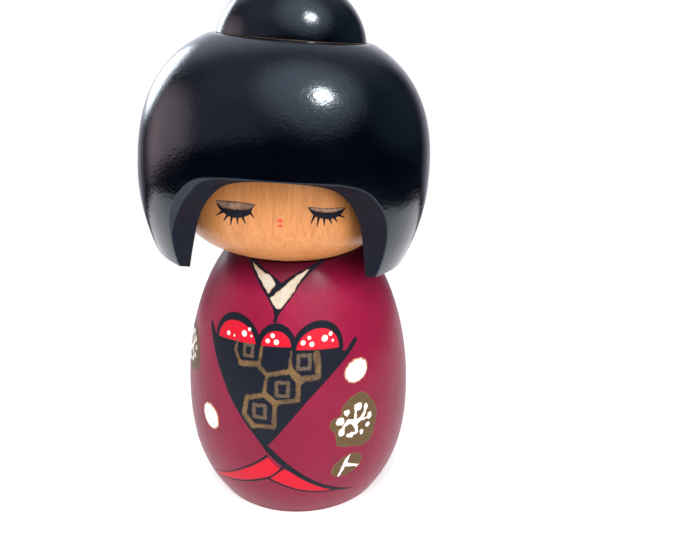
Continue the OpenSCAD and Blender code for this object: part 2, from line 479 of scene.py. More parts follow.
class Patch:
    """A grid over part of a turned surface, unrolled: s is the way round from the painting's
    front line and z the height, both in mm. Shapes on it are given as inside distances:
    how far a place lies within the shape, below 0 outside it."""

    def __init__(self, turning, front, s_range, z_range, step):
        self.turning = turning
        self.front = front
        self.step = step
        s = np.arange(s_range[0], s_range[1] + step, step)
        z = np.arange(z_range[0], z_range[1] + step, step)
        self.s, self.z = np.meshgrid(s, z, indexing="ij")

    def place(self, s, z, lift):
        """Points on the surface, raised by lift."""
        return self.turning.at(self.front + s / self.turning.radius(z), z, lift)

    def stroke(self, points, widths):
        """A brush stroke through the points, as wide as widths says at each, or evenly spread."""
        widths = np.interp(np.linspace(0, 1, len(points)), np.linspace(0, 1, len(widths)), widths)
        inside = np.full(self.s.shape, -1e3)
        for (s0, z0), (s1, z1), w0, w1 in zip(points, points[1:], widths, widths[1:]):
            ds, dz = s1 - s0, z1 - z0
            along = ((self.s - s0) * ds + (self.z - z0) * dz) / (ds * ds + dz * dz)
            along = np.clip(along, 0, 1)
            gap = np.hypot(self.s - s0 - along * ds, self.z - z0 - along * dz)
            inside = np.maximum(inside, (w0 + (w1 - w0) * along) / 2 - gap)
        return inside

    def area(self, outline):
        """The inside of a closed outline."""
        within = np.zeros(self.s.shape, bool)
        gap = np.full(self.s.shape, 1e3)
        for (s0, z0), (s1, z1) in zip(outline, outline[1:] + outline[:1]):
            ds, dz = s1 - s0, z1 - z0
            along = ((self.s - s0) * ds + (self.z - z0) * dz) / (ds * ds + dz * dz + 1e-12)
            along = np.clip(along, 0, 1)
            gap = np.minimum(gap, np.hypot(self.s - s0 - along * ds, self.z - z0 - along * dz))
            crosses = (z0 > self.z) != (z1 > self.z)
            within ^= crosses & (self.s < s0 + (self.z - z0) * ds / (dz if dz else 1e-12))
        return np.where(within, gap, -gap)

    def oval(self, s, z, rs, rz, tilt=0.0):
        """An oval with its radius rs turned up by tilt degrees."""
        c, d = math.cos(math.radians(tilt)), math.sin(math.radians(tilt))
        u = (self.s - s) * c + (self.z - z) * d
        v = (self.z - z) * c - (self.s - s) * d
        return (1 - np.hypot(u / rs, v / rz)) * min(rs, rz)

    def hand(self, seed, amount, size):
        """The unevenness of a hand-held brush: waves of about this size and amount."""
        rng = np.random.default_rng(seed)
        wave = np.zeros(self.s.shape)
        for _ in range(5):
            heading, phase, stretch = rng.random(3) * [2 * math.pi, 2 * math.pi, 1]
            pace = 2 * math.pi / (size * (0.6 + stretch))
            wave += np.sin((self.s * math.cos(heading) + self.z * math.sin(heading)) * pace + phase)
        return wave * amount / 2.2


def union(*shapes):
    return np.maximum.reduce(shapes)


def smooth(points, closed=False, steps=6):
    """A flowing curve through the points."""
    p = [np.array(q, float) for q in points]
    ends = [p[-1]] + p + p[:2] if closed else [2 * p[0] - p[1]] + p + [2 * p[-1] - p[-2]]
    curve = []
    for a, b, c, d in zip(ends, ends[1:], ends[2:], ends[3:]):
        for i in range(steps):
            t = i / steps
            q = 2 * b + (c - a) * t + (2 * a - 5 * b + 4 * c - d) * t**2 + (3 * b - a - 3 * c + d) * t**3
            curve.append(tuple(q / 2))
    return curve if closed else curve + [tuple(p[-1])]


def film(name, patch, inside, place, body, paint, level=0.0, thick=0.07):
    """A coat of paint as a thin closed film where inside is above 0. It thins towards its edge,
    and sinks a little into the wood so that nothing shows under it."""
    step = patch.step
    snap = 0.06 * step
    inside = np.where(np.abs(inside) < snap, np.where(inside < 0, -snap, snap), inside)
    inside[0, :] = inside[-1, :] = -snap
    inside[:, 0] = inside[:, -1] = -snap
    flat = []
    depth = []
    found = {}

    def corner(i, j):
        key = (i, j)
        if key not in found:
            found[key] = len(flat)
            flat.append((patch.s[i, j], patch.z[i, j]))
            depth.append(inside[i, j])
        return found[key]

    def crossing(a, b):
        key = (a, b) if a < b else (b, a)
        if key not in found:
            da, db = inside[a], inside[b]
            t = da / (da - db)
            s = patch.s[a] + (patch.s[b] - patch.s[a]) * t
            z = patch.z[a] + (patch.z[b] - patch.z[a]) * t
            found[key] = len(flat)
            flat.append((s, z))
            depth.append(0.0)
        return found[key]

    faces = []
    wet = inside > 0
    cells = wet[:-1, :-1] | wet[1:, :-1] | wet[:-1, 1:] | wet[1:, 1:]
    for i, j in np.argwhere(cells):
        a, b, c, d = (i, j), (i + 1, j), (i + 1, j + 1), (i, j + 1)
        for triangle in ((a, b, c), (a, c, d)):
            ring = []
            for p, q in zip(triangle, triangle[1:] + triangle[:1]):
                if wet[p]:
                    ring.append(corner(*p))
                if wet[p] != wet[q]:
                    ring.append(crossing(p, q))
            if len(ring) > 2:
                faces.append(tuple(ring))

    flat = np.array(flat)
    depth = np.array(depth)
    swell = np.clip(depth / 0.22, 0, 1)
    top = patch.place(flat[:, 0], flat[:, 1], level + 0.012 + thick * swell * (2 - swell))
    under = patch.place(flat[:, 0], flat[:, 1], -0.12)
    count = len(flat)
    sides = {}
    for face in faces:
        for p, q in zip(face, face[1:] + face[:1]):
            sides[p, q] = True
    skirt = [(q, p, p + count, q + count) for p, q in sides if (q, p) not in sides]
    bottom = [tuple(v + count for v in reversed(face)) for face in faces]
    piece = make(name, np.vstack([top, under]), faces + bottom + skirt, place, body, [paint])
    layer = piece.data.attributes.new("body_of_stroke", "FLOAT", "POINT")
    layer.data.foreach_set("value", np.clip(np.append(depth, depth) / 0.55, 0, 1).astype(np.float32))
    return piece


# ---------------------------------------------------------------- motifs on the body

OBI_LEFT = [(-18, 50), (-15.3, 45.2), (-12.5, 40.4), (-9, 35.4), (-5, 30.4), (-1.6, 25.8)]
OBI_RIGHT = [(-1.2, 27.7), (1.5, 31.1), (5, 35.6), (8.7, 40.2), (12.4, 44.3), (16.2, 48.1), (20, 51.6)]
FOLD = [(-1.3, 26.6), (2.3, 22.8), (6.1, 19.2), (10, 15.8), (14, 12.8), (18.4, 10.3), (23, 8.6)]
DOMES = [  # middle, foot height, half width and height of each red dome
    (-11.1, 56.5, 6.4, 5.4, -1),
    (1.0, 56.5, 4.2, 4.2, 0),
    (12.5, 55.6, 6.0, 5.6, 2),
]


def dome(patch, dome_row, grow, grow_top):
    """The upper half of an oval standing on its foot line."""
    s, z, half, height, tilt = dome_row
    round_part = patch.oval(s, z, half + grow, height + grow_top, tilt)
    slope = math.tan(math.radians(tilt))
    foot = patch.z - z + (patch.s - s) * slope
    return np.minimum(round_part, foot + grow)


def kimono_black(patch):
    spikes_left = [(-22, 59.6), (-21.6, 57.5), (-20.4, 55)]
    spikes_right = [(20, 51.6), (22.2, 53.8), (24.2, 56.3), (23.5, 57.4)]
    outline = smooth(spikes_left + OBI_LEFT) + smooth(OBI_RIGHT)[:-1] + smooth(spikes_right)
    outline += smooth([(22.3, 56.2), (20.6, 54.4), (18, 54.6)])
    outline += [(12, 56), (6, 56.5), (-4, 56.6), (-12, 57), (-17, 57), (-19, 56.7), (-20.8, 59)]
    obi = patch.area(outline)
    arches = [dome(patch, row, 1.25, 1.9) for row in DOMES]
    fold = patch.stroke(smooth(FOLD), [1.9, 1.9, 1.6, 1.5, 1.5, 1.2, 0.2])
    return union(obi, *arches, fold)


def collar_black(patch):
    left = smooth([(-10.6, 77.8), (-9, 75.9), (-7.2, 74), (-4.4, 70.9), (-2, 68.2), (-0.4, 65.8), (0.1, 64)])
    foot = [(-0.3, 62.8), (0.9, 62.6)]
    right = smooth([(1.1, 64.4), (2.6, 66.5), (4.6, 69.3), (6.8, 72.6), (9.6, 75.2), (13.2, 77.4)])
    neck = smooth([(12.6, 77.9), (9, 76.3), (5.6, 74.9), (3.2, 73.7), (1.2, 72.3)])
    inner = smooth([(1.2, 72.3), (-0.7, 73.5), (-3, 74.7), (-5.8, 76), (-8, 77.8)])
    return patch.area(left + foot + right + neck + inner)


def collar_cream(patch):
    left = smooth([(-9.3, 77.2), (-7.2, 75.9), (-4.2, 74.6), (-1.9, 73.7), (-0.2, 72)], steps=4)
    left += smooth([(-1.1, 70.9), (-2.2, 69.7), (-3.7, 71.2), (-5.8, 73.4), (-7.6, 75.3)], steps=4)
    right = smooth([(8.6, 75.6), (6, 74.6), (3.6, 73), (1.3, 71), (-1.7, 68.6)], steps=4)
    right += smooth([(-0.6, 67.2), (0.7, 66), (1.9, 66.4), (4.2, 69.3), (6.1, 72.6), (7.8, 74.7)], steps=4)
    return union(patch.area(left), patch.area(right)) + patch.hand(3, 0.09, 1.6)


def petals(patch):
    """The two red corners of the skirt below the fold."""
    left = smooth([(-1.3, 24), (-5, 21), (-9.5, 17.9), (-14.5, 14.6), (-20, 11.6), (-25, 9.2)])
    left += smooth([(-21.5, 9.6), (-17.4, 10.9), (-12.9, 12.4), (-8.4, 14), (-4.4, 15.7), (-0.8, 17.4), (2.2, 20)])
    right = smooth([(3.2, 20.2), (2.2, 19.7), (0, 18), (-1.2, 16.4), (1.2, 15.1), (3.9, 13.7), (7.5, 12.2), (12.6, 11)])
    right += smooth([(16.6, 10.8), (12.6, 13.4), (8.6, 16.2), (5.6, 18.8)])
    return patch.area(left), patch.area(right)


def petal_lines(patch):
    top = smooth([(-1.6, 24.4), (-5, 21.5), (-9.5, 18.3), (-14.5, 15), (-20, 12), (-26, 9)])
    low = smooth([(2.6, 20.6), (-0.9, 17), (-4.4, 15.2), (-8.4, 13.5), (-12.9, 11.9), (-17.4, 10.5), (-23, 8.9)])
    tip = smooth([(-0.9, 17), (-1.4, 16), (1.2, 14.6), (3.9, 13.2), (7.5, 11.8), (12.6, 10.6), (17, 10.2)])
    return union(
        patch.stroke(top, [0.7, 0.55, 0.4, 0.3, 0.2]),
        patch.stroke(low, [0.9, 0.6, 0.55, 0.5, 0.35, 0.2]),
        patch.stroke(tip, [0.7, 0.6, 0.5, 0.5, 0.4]),
    )


HEXAGONS = [  # gold lines of the tortoise-shell pattern, with their widths
    ([(-10.3, 57), (-11, 54.3), (-9.3, 51.4)], [0.8, 1.1, 1.3]),
    ([(-9.1, 51.1), (-3.8, 51.6)], [1.9, 1.7]),
    ([(-3.7, 51.4), (-3.2, 53.6), (-2.9, 56.3)], [1.3, 1.1, 1.0]),
    ([(-3.7, 51.4), (-1.2, 48.8)], [1.5, 1.2]),
    ([(5.3, 55.6), (5.1, 52.6), (5.3, 50.6)], [0.6, 1.1, 1.7]),
    ([(-1.1, 49), (4.3, 50.1), (5.3, 50.4), (7.9, 47.6)], [1.4, 1.7, 2.2, 2.5]),
    ([(8.0, 48.1), (12.7, 48.3)], [1.9, 1.8]),
    ([(12.8, 48.3), (12.6, 52), (12.1, 54.4)], [1.8, 2.0, 2.3]),
    ([(7.4, 47.4), (7.4, 42.2)], [1.6, 1.5]),
    ([(7.4, 42.2), (1.5, 41.4)], [1.5, 1.4]),
    ([(-1.2, 48.6), (-1.7, 45.5), (-1.8, 43.5)], [1.1, 1.2, 1.6]),
    ([(-1.8, 43.5), (1.3, 41.0)], [2.0, 2.2]),
    ([(-2.0, 43.2), (-6.9, 41.9)], [1.6, 1.6]),
    ([(-7.0, 41.8), (-8.0, 36.9), (-5.3, 33.6)], [1.6, 1.7, 2.0]),
    ([(-4.9, 33.8), (0.6, 34.0)], [1.5, 1.5]),
    ([(0.7, 33.9), (1.1, 40.6)], [1.6, 1.4]),
]
SQUARES = [  # middle, half width and half height of the little squares in them, and their line
    (-6.8, 54.9, 1.25, 1.45, 1.15),
    (8.8, 52.6, 1.55, 1.75, 1.25),
    (3.1, 45.2, 1.6, 1.85, 1.2),
    (-3.3, 38.3, 1.6, 1.75, 1.3),
]


def gold_lines(patch):
    lines = [patch.stroke(points, widths) for points, widths in HEXAGONS]
    return union(*lines) + patch.hand(11, 0.06, 1.3)


def gold_squares(patch):
    lines = []
    for s, z, rs, rz, width in SQUARES:
        ring = [(s - rs, z + rz), (s + rs, z + rz), (s + rs, z - rz), (s - rs, z - rz), (s - rs, z + rz)]
        lines.append(patch.stroke(ring, [width]))
    return union(*lines) + patch.hand(13, 0.06, 1.3)


DOTS = [  # white dots on the red domes, with their radii
    (-13.7, 58.1, 0.65), (-11.6, 57.9, 0.35), (-8.3, 59, 0.85), (-6.8, 60.3, 0.5), (-6.1, 58.7, 0.35),
    (0, 59.4, 0.65), (-1.3, 58, 0.65), (1.1, 57.8, 0.75),
    (9.9, 58.9, 0.55), (8.3, 57.7, 0.7), (10.7, 57.2, 0.7), (14.2, 58.4, 0.9), (15.8, 59.4, 0.6), (16.5, 57.6, 0.4),
]  # fmt: skip

PETALS = [  # outline of a plum blossom about its middle: five soft uneven petals
    (2.9, 8.7), (5.1, 6.6), (7.9, 2.2), (7.3, -2.2), (5.8, -6.6), (3.0, -8.0), (-1.6, -7.1),
    (-5.6, -5.9), (-6.0, -2.6), (-7.9, 1.0), (-6.6, 2.9), (-4.4, 3.8), (-3.9, 6.5), (0.2, 9.0),
]  # fmt: skip
THREADS = [  # white stamens: points from the middle outwards, and widths
    ([(0, 0), (0.2, 3.4), (1.0, 4.8)], [1.2, 0.7, 1.0]),
    ([(0, 0), (2.5, 1.5), (3.7, 4.0)], [1.5, 1.2, 0.7]),
    ([(1.7, 0.7), (3.6, 0.6), (4.9, 1.0)], [0.9, 0.7, 0.9]),
    ([(0, 0), (0.4, -2.8), (-1.2, -3.2)], [1.3, 1.0, 1.2]),
    ([(0, 0), (-1.9, 1.1), (-3.6, -0.2), (-4.2, -1.6)], [1.6, 1.6, 0.9, 0.8]),
]
ANTHERS = [  # white blobs at the ends of the stamens and between them: place and radii
    (1.0, 4.9, 1.35, 1.2), (3.7, 4.1, 0.75, 1.1), (5.0, 1.0, 0.8, 1.1), (4.3, -1.7, 0.85, 0.8),
    (2.1, -3.4, 0.7, 0.95), (-1.5, -3.3, 1.25, 0.8), (-4.3, -1.8, 1.05, 1.2), (-4.6, 1.7, 1.3, 1.2),
    (-2.7, 4.0, 0.8, 1.1), (0, 0, 0.9, 1.0),
]  # fmt: skip
BLOSSOMS = [  # middle, size and turn of each plum blossom
    (24.0, 32.6, 1.0, 0),
    (-34.2, 47.6, 0.86, 40),
    (68, 50, 0.9, 115),
    (-75, 27, 0.95, 200),
]
SPOTS = [  # white round buds: middle, radii, tilt
    (24.2, 48.1, 3.7, 3.15, 10),
    (-21, 31.9, 3.4, 3.9, 20),
    (-33.6, 14.8, 3.2, 3.0, 0),
    (62, 35, 3.2, 3.1, 0),
    (-56, 41, 3.2, 3.0, 15),
    (88, 36, 3.4, 3.1, 0),
]
BUDS = [  # gold buds with a white twig: middle, radii, tilt
    (21.4, 19.2, 5.3, 3.3, 24),
    (-54, 20, 4.6, 2.9, -20),
    (70, 25, 4.8, 3.0, 25),
]


def turned_about(points, s, z, size, turn):
    """Points about a middle, scaled, turned by turn degrees and moved to s, z."""
    c, d = size * math.cos(math.radians(turn)), size * math.sin(math.radians(turn))
    return [(s + u * c - v * d, z + u * d + v * c) for u, v in points]


def blossom(patch, s, z, size, turn):
    outline = smooth(turned_about(PETALS, s, z, size, turn), closed=True)
    return patch.area(outline) + patch.hand(round(s) % 97, 0.1, 2.2)


def stamens(patch, s, z, size, turn):
    shapes = []
    for points, widths in THREADS:
        line = smooth(turned_about(points, s, z, size, turn), steps=4)
        shapes.append(patch.stroke(line, [w * size for w in widths]))
    for u, v, ru, rv in ANTHERS:
        middle = turned_about([(u, v)], s, z, size, turn)[0]
        shapes.append(patch.oval(*middle, ru * size, rv * size, turn))
    return union(*shapes) + patch.hand(round(s) % 31 + 5, 0.13, 1.4)


def twig(patch, s, z, rs, rz, tilt):
    """A white twig with one side shoot that forks at its end."""
    size = rz / 3.3
    stem = smooth(turned_about([(-2.9, -3.4), (-1.1, 0), (-0.5, 1.0), (-0.1, 2.1), (1.0, 3.7)], s, z, size, 0))
    shoot = turned_about([(-0.6, 0.5), (1.0, -0.3), (2.3, -0.7), (3.3, -1.8)], s, z, size, 0)
    fork = turned_about([(2.1, -0.7), (3.8, -1.2)], s, z, size, 0)
    widths = ([0.6, 1.1, 1.5, 1.1, 0.3], [1.6, 1.2, 0.9, 0.3], [0.8, 0.4])
    lines = [patch.stroke(line, [w * size for w in width]) for line, width in zip((stem, shoot, fork), widths)]
    return union(*lines) + patch.hand(round(s) % 17 + 60, 0.08, 1.2)


# ---------------------------------------------------------------- the eyes and the mouth

EYES = [
    {
        "lid": [(-17.9, 18.3), (-17.5, 18.9), (-15.8, 19.1), (-13.5, 19.4), (-10.5, 19.6), (-8.4, 19.6), (-6.4, 19.5)],
        "lid_end": [(-6.8, 18.8), (-7.4, 18.3)],
        "seam": [(-8.1, 17.9), (-9.6, 17.6), (-11.8, 17.3), (-13.4, 17.2), (-15.8, 17.3), (-17.5, 18.0)],
        "lash_line": [(-17.9, 18.2), (-16.7, 16.8), (-15.6, 16.1), (-14.4, 15.5), (-13.1, 15.2), (-11.7, 15.2),
                      (-10.3, 15.5), (-9.0, 16.0), (-8.0, 16.6), (-7.5, 17.5), (-7.1, 18.6)],
        "lashes": [
            ((-15.5, 16.3), (-17.9, 14.7)), ((-14.1, 15.6), (-15.3, 13.7)), ((-12.8, 15.4), (-13.2, 12.9)),
            ((-11.3, 15.5), (-11.1, 13.6)), ((-9.9, 15.9), (-8.9, 14.0)), ((-7.9, 17.3), (-6.7, 15.9)),
        ],
    },
    {
        "lid": [(6.7, 19.4), (7.6, 19.7), (9.7, 19.4), (13.4, 19.2), (16.0, 19.2), (17.6, 19.1)],
        "lid_end": [],
        "seam": [(17.2, 18.9), (16.0, 18.4), (14.0, 18.0), (11.8, 18.0), (10.0, 18.2), (8.2, 18.7), (7.2, 19.2)],
        "lash_line": [(6.6, 19.6), (7.6, 18.4), (8.7, 17.3), (10.1, 16.7), (12.0, 16.3), (13.6, 16.3), (15.3, 16.8),
                      (16.4, 17.5), (17.8, 19.2)],
        "lashes": [
            ((8.7, 17.3), (7.9, 15.2)), ((9.9, 16.8), (9.6, 14.4)), ((11.4, 16.5), (11.6, 14.6)),
            ((12.9, 16.5), (13.7, 14.9)), ((14.2, 16.7), (15.3, 15.4)), ((15.6, 17.2), (17.4, 16.4)),
        ],
    },
]  # fmt: skip


def eye_black(patch, eye):
    crescent = patch.area(smooth(eye["lash_line"]) + smooth(eye["seam"]))
    lashes = [patch.stroke([root, tip], [0.75, 0.6, 0.2]) for root, tip in eye["lashes"]]
    return union(crescent, *lashes)


def eye_lid(patch, eye):
    return patch.area(smooth(eye["lid"]) + eye["lid_end"] + smooth(eye["seam"])) + patch.hand(21, 0.05, 0.9)


# ---------------------------------------------------------------- materials


class Finish:
    """One material around one Principled shader, with short calls for its texture nodes."""

    def __init__(self, name, place=None, **inputs):
        self.material = bpy.data.materials.new(name)
        self.material.use_nodes = True
        self.tree = self.material.node_tree
        self.shader = self.tree.nodes["Principled BSDF"]
        for key, value in inputs.items():
            self.shader.inputs[key.replace("_", " ")].default_value = value
        self.where = self.node("ShaderNodeTexCoord").outputs["Object"]

    def node(self, kind, links=None, **settings):
        made = self.tree.nodes.new(kind)
        for key, value in settings.items():
            setattr(made, key, value)
        for key, value in (links or {}).items():
            if isinstance(value, bpy.types.NodeSocket):
                self.tree.links.new(value, made.inputs[key])
            else:
                made.inputs[key].default_value = value
        return made

    def noise(self, size, stretch=(1, 1, 1), detail=3.0, rough=0.5, shift=0.0):
        """Noise with features of this size in mm, stretched along each axis."""
        scale = tuple(1 / s for s in stretch)
        links = {"Vector": self.where, "Scale": scale, "Location": (shift, shift, shift)}
        mapped = self.node("ShaderNodeMapping", links).outputs["Vector"]
        links = {"Vector": mapped, "Scale": 1 / (size * MM), "Detail": detail, "Roughness": rough}
        return self.node("ShaderNodeTexNoise", links).outputs["Fac"]

    def rings(self, pitch, axis="Z", distortion=0.0, detail_size=1.0):
        """Bands across an axis, pitch apart in mm."""
        links = {"Vector": self.where, "Scale": 0.314 / (pitch * MM) / 2, "Distortion": distortion}
        links["Detail Scale"] = detail_size
        wave = self.node("ShaderNodeTexWave", links, wave_type="BANDS", bands_direction=axis)
        return wave.outputs["Fac"]

    def ramp(self, value, *stops, interpolation="LINEAR"):
        """Colours at places from 0 to 1."""
        made = self.node("ShaderNodeValToRGB", {"Fac": value})
        made.color_ramp.interpolation = interpolation
        marks = made.color_ramp.elements
        while len(marks) < len(stops):
            marks.new(1.0)
        for mark, (place, colour) in zip(marks, stops):
            mark.position = place
            mark.color = (*colour, 1.0) if isinstance(colour, tuple) else (colour, colour, colour, 1.0)
        return made.outputs["Color"]

    def span(self, value, low, high, new_low, new_high):
        links = {"Value": value, "From Min": low, "From Max": high, "To Min": new_low, "To Max": new_high}
        return self.node("ShaderNodeMapRange", links).outputs["Result"]

    def mix(self, share, a, b, blend="MIX"):
        made = self.node("ShaderNodeMix", data_type="RGBA", blend_type=blend)
        for name, value in (("Factor", share), ("A", a), ("B", b)):
            socket = [s for s in made.inputs if s.name == name and s.enabled][0]
            if isinstance(value, bpy.types.NodeSocket):
                self.tree.links.new(value, socket)
            else:
                socket.default_value = value if name == "Factor" else (*value, 1.0)
        return [s for s in made.outputs if s.enabled][0]

    def sum(self, a, b, share=1.0):
        """a plus share times b."""
        return self.node("ShaderNodeMath", {0: b, 1: share, 2: a}, operation="MULTIPLY_ADD").outputs[0]

    def attribute(self, name):
        return self.node("ShaderNodeAttribute", attribute_name=name).outputs["Fac"]

    def link(self, key, value):
        self.tree.links.new(value, self.shader.inputs[key])
        return self

    def bump(self, height, depth, strength=1.0):
        """Relief with a height of 1 standing depth mm proud."""
        links = {"Height": height, "Distance": depth * MM, "Strength": strength}
        self.link("Normal", self.node("ShaderNodeBump", links).outputs["Normal"])
        return self


def red_lacquer():
    """Satin crimson over turned wood, with a fine orange-peel skin. It carries painted shade: darker towards the
    bottom, and nearly black just under the head.
    """
    f = Finish("red_lacquer", Coat_Weight=0.38, Coat_Roughness=0.3, Specular_IOR_Level=0.04)
    cloud = f.noise(14, detail=4)
    grain = f.noise(0.9, stretch=(1, 1, 16), detail=5, rough=0.6)
    colour = f.ramp(cloud, (0.3, (0.24, 0.006, 0.035)), (0.7, (0.30, 0.008, 0.047)))
    colour = f.mix(f.span(grain, 0.35, 0.65, 0.0, 0.35), colour, (0.19, 0.005, 0.027))
    height = f.node("ShaderNodeSeparateXYZ", {"Vector": f.where}).outputs["Z"]
    # Painted shade: the lacquer darkens towards the bottom, where less light reaches the body.
    colour = f.mix(f.span(height, 66 * MM, 38 * MM, 0.0, 0.4), colour, (0.11, 0.002, 0.018))
    # Painted shade: the lacquer goes nearly black just under the head, where the head shades it.
    painted_neck_shade = f.span(height, 69 * MM, 76 * MM, 0.0, 0.85)
    f.link("Base Color", f.mix(painted_neck_shade, colour, (0.05, 0.0008, 0.010)))
    peel = f.noise(0.4, detail=2)
    f.link("Roughness", f.span(f.noise(3, detail=4), 0.3, 0.7, 0.36, 0.48))
    f.bump(f.sum(peel, grain, 0.2), 0.22)
    return f.material


def black_lacquer():
    """Glossy black with a faintly dimpled skin and rub marks around the turning."""
    f = Finish("black_lacquer", Specular_IOR_Level=0.56)
    f.shader.inputs["Specular Tint"].default_value = (0.8, 0.9, 1.0, 1.0)
    dust = f.noise(9, detail=5)
    f.link("Base Color", f.ramp(dust, (0.3, (0.0001, 0.0003, 0.0015)), (0.75, (0.0008, 0.0014, 0.0035))))
    rub = f.noise(2.2, stretch=(4, 4, 0.8), detail=5, rough=0.65)
    f.link("Roughness", f.span(rub, 0.35, 0.7, 0.14, 0.2))
    rings = f.noise(0.5, stretch=(30, 30, 1), detail=3)
    dimples = f.noise(0.8, stretch=(1.4, 1.4, 1), detail=3, rough=0.55, shift=5.0)
    f.bump(f.sum(f.sum(dimples, rings, 0.1), f.noise(5, detail=2), 1.0), 0.045)
    return f.material


def sawn_black():
    """Matt black stain on the sawn face, with the grain raised."""
    f = Finish("sawn_black", Specular_IOR_Level=0.16)
    f.shader.inputs["Specular Tint"].default_value = (0.7, 0.8, 1.0, 1.0)
    grain = f.noise(0.6, stretch=(1, 1, 5), detail=5, rough=0.7)
    colour = f.ramp(grain, (0.3, (0.0015, 0.003, 0.008)), (0.7, (0.007, 0.008, 0.015)))
    worn = f.span(f.noise(9, detail=3, shift=2.0), 0.45, 0.65, 0.0, 0.6)
    f.link("Base Color", f.mix(worn, colour, (0.009, 0.004, 0.006)))
    f.link("Roughness", f.span(f.noise(2, detail=3), 0.3, 0.7, 0.5, 0.65))
    f.bump(grain, 0.08)
    return f.material


def rubbed_black():
    """Lacquer rubbed thin along the edges of the window."""
    f = Finish("rubbed_black", Specular_IOR_Level=0.4)
    f.shader.inputs["Specular Tint"].default_value = (0.8, 0.9, 1.0, 1.0)
    worn = f.noise(0.8, stretch=(1, 1, 4), detail=5, rough=0.6)
    f.link("Base Color", f.ramp(worn, (0.3, (0.004, 0.008, 0.014)), (0.7, (0.013, 0.018, 0.028))))
    f.link("Roughness", f.span(worn, 0.3, 0.7, 0.34, 0.5))
    f.bump(worn, 0.04)
    return f.material


def face_wood():
    """Varnished wood with fine upright grain."""
    f = Finish("face_wood", Coat_Weight=0.15, Coat_Roughness=0.2, Specular_IOR_Level=0.3)
    broad = f.noise(6, stretch=(1, 1, 4), detail=3)
    colour = f.ramp(broad, (0.3, (0.62, 0.25, 0.076)), (0.7, (0.73, 0.32, 0.115)))
    fine = f.noise(0.5, stretch=(1, 1, 14), detail=6, rough=0.7)
    colour = f.mix(f.span(fine, 0.42, 0.7, 0.0, 0.6), colour, (0.42, 0.136, 0.034))
    vein = f.noise(1.7, stretch=(1, 1, 30), detail=3, shift=11.0)
    colour = f.mix(f.span(vein, 0.56, 0.72, 0.0, 0.45), colour, (0.45, 0.156, 0.045))
    f.link("Base Color", colour)
    f.link("Roughness", f.span(fine, 0.3, 0.7, 0.34, 0.46))
    f.bump(fine, 0.03)
    return f.material


def bare_wood(name):
    """Pale unfinished wood with turning marks."""
    f = Finish(name, Specular_IOR_Level=0.3)
    fine = f.noise(0.7, stretch=(1, 1, 10), detail=6, rough=0.6)
    ring = f.noise(1.6, stretch=(1, 1, 40), detail=3)
    colour = f.ramp(fine, (0.3, (0.42, 0.26, 0.13)), (0.7, (0.62, 0.43, 0.25)))
    f.link("Base Color", f.mix(f.span(ring, 0.4, 0.65, 0.0, 0.3), colour, (0.36, 0.2, 0.09)))
    f.link("Roughness", f.span(fine, 0.3, 0.7, 0.55, 0.7))
    f.bump(fine, 0.05)
    return f.material


def paint(name, thin, full, specks, gloss, relief=0.02, metallic=0.0, patchy=0.0):
    """Brush paint: thin at the edge of a stroke, full in its body, with streaks and specks. Where
    patchy is above 0 some places a few mm wide stay thin as well."""
    f = Finish(name, Metallic=metallic, Specular_IOR_Level=0.13)
    body = f.attribute("body_of_stroke")
    streak = f.noise(0.55, detail=4, rough=0.6)
    share = f.span(f.sum(body, f.span(streak, 0.3, 0.7, -0.45, 0.45)), 0.1, 0.75, 0.0, 1.0)
    if patchy:
        share = f.sum(share, f.span(f.noise(3.5, detail=2, shift=7.0), 0.42, 0.6, 0.0, -patchy))
    colour = f.mix(share, thin, full)
    speck = f.noise(0.28, detail=2, shift=3.0)
    colour = f.mix(f.span(speck, 0.52, 0.7, 0.0, 0.6), colour, specks)
    f.link("Base Color", colour)
    f.link("Roughness", f.span(streak, 0.3, 0.7, gloss - 0.07, gloss + 0.07))
    f.bump(streak, relief)
    return f.material


# ---------------------------------------------------------------- assembly


def own_front(s, z):
    """Front line and way round of a motif. One that lies past the side has a front line of its own
    through its middle, because a shape far from its line comes out askew where the body narrows."""
    if abs(s) < 50:
        return PAINT_FRONT, s
    return PAINT_FRONT + s / BODY.radius(z), 0.0


